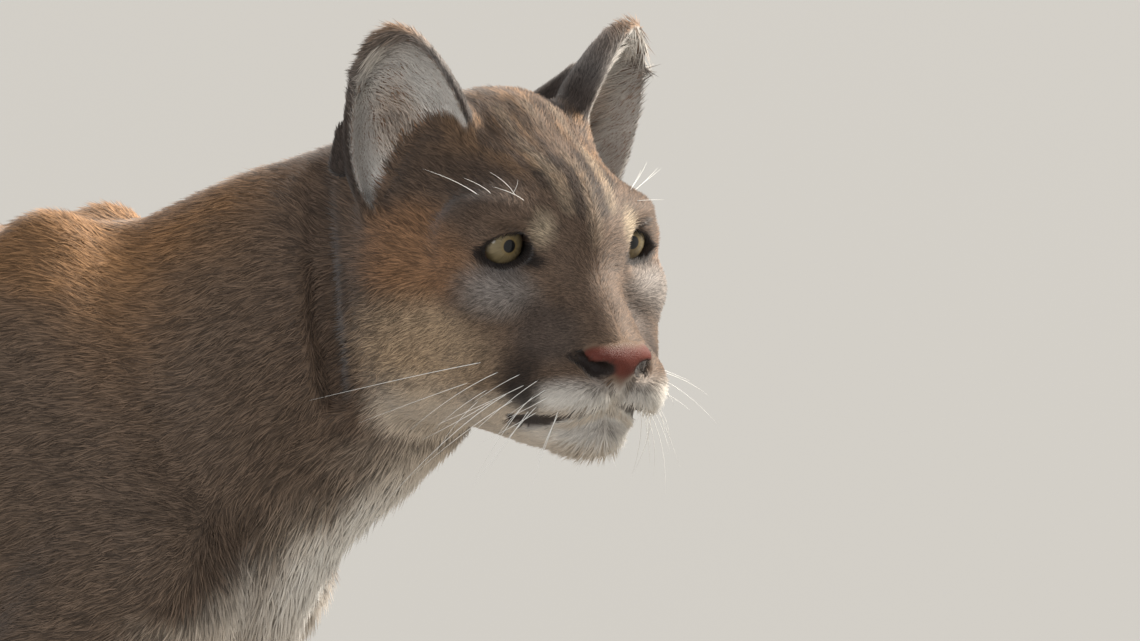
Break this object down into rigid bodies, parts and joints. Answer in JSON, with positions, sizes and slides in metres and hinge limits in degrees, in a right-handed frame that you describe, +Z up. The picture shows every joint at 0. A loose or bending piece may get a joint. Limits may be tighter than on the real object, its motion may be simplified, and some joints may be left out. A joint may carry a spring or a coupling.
{
  "type": "cougar",
  "caption": "Life-size cougar standing on all paws with its head turned to its right, ears up and a long hanging tail.",
  "frame": {"origin": "middle of the bounding box, on the floor under the soles", "axes": "+X from tail to head, +Y to the animal's left, +Z up"},
  "size_m": [1.5588, 0.3158, 0.7794],
  "materials": {
    "face_fur": "short grey-brown fur, white on muzzle and chin",
    "body_fur": "short tawny fur, paler below, dark tail tip",
    "eyes": "wet, clear cornea over a pale golden iris"
  },
  "bodies": {
    "root": {"head": "face_fur", "ear_left": "face_fur", "ear_right": "face_fur", "eye_left": "eyes", "eye_right": "eyes", "neck": "body_fur", "torso": "body_fur", "foreleg_left": "body_fur", "foreleg_right": "body_fur", "hindleg_left": "body_fur", "hindleg_right": "body_fur", "tail_base": "body_fur", "tail_middle": "body_fur", "tail_tip": "body_fur"}
  },
  "joints": []
}
